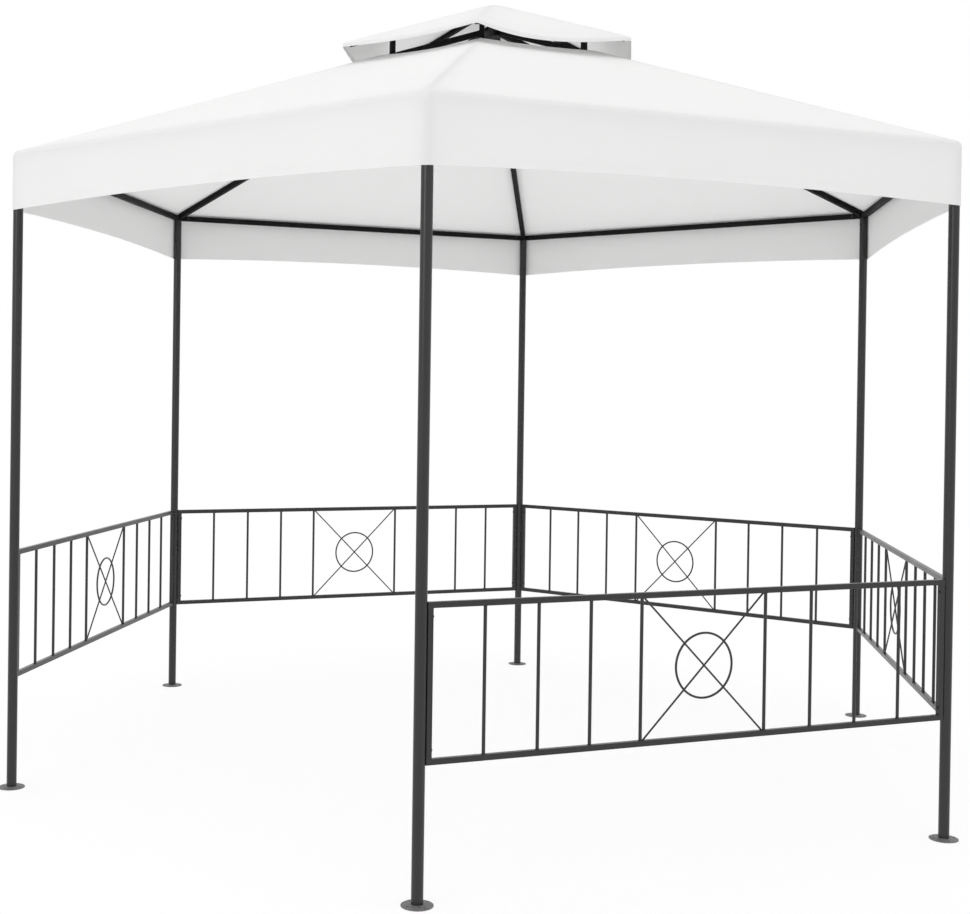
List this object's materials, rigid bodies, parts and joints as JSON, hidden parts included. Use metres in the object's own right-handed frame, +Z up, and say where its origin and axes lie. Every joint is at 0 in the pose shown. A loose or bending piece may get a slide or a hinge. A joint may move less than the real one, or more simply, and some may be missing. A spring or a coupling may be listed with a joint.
{
  "type": "hexagonal garden gazebo",
  "caption": "Hexagonal steel-frame garden gazebo with a two-tier vented fabric roof, a straight valance, ornamental railing panels and one open side to walk in by.",
  "frame": {"origin": "on the ground at the middle of the hexagonal plan", "axes": "+Z up, -Y out of the open side, +X through the right-hand corner post"},
  "size_m": [3.26, 2.834, 2.5837],
  "materials": {
    "frame_steel": "satin black powder coat",
    "foot_plate": "satin dark grey powder coat",
    "canopy_fabric": "plain woven polyester, off-white"
  },
  "bodies": {
    "root": {"foot_right": "foot_plate", "foot_back_right": "foot_plate", "foot_back_left": "foot_plate", "foot_left": "foot_plate", "foot_front_left": "foot_plate", "foot_front_right": "foot_plate", "post_right": "frame_steel", "post_back_right": "frame_steel", "post_back_left": "frame_steel", "post_left": "frame_steel", "post_front_left": "frame_steel", "post_front_right": "frame_steel", "corner_connector_right": "frame_steel", "corner_connector_back_right": "frame_steel", "corner_connector_back_left": "frame_steel", "corner_connector_left": "frame_steel", "corner_connector_front_left": "frame_steel", "corner_connector_front_right": "frame_steel", "eave_beam_back_right": "frame_steel", "eave_beam_back": "frame_steel", "eave_beam_back_left": "frame_steel", "eave_beam_front_left": "frame_steel", "eave_beam_front": "frame_steel", "eave_beam_front_right": "frame_steel", "rafter_right": "frame_steel", "rafter_back_right": "frame_steel", "rafter_back_left": "frame_steel", "rafter_left": "frame_steel", "rafter_front_left": "frame_steel", "rafter_front_right": "frame_steel", "railing_back_right": "frame_steel", "railing_back": "frame_steel", "railing_back_left": "frame_steel", "railing_front_left": "frame_steel", "railing_front_right": "frame_steel", "crown_hub": "frame_steel", "crown_legs": "frame_steel", "cap_rafters": "frame_steel", "cap_hub": "frame_steel", "main_canopy": "canopy_fabric", "cap_canopy": "canopy_fabric"}
  },
  "joints": []
}
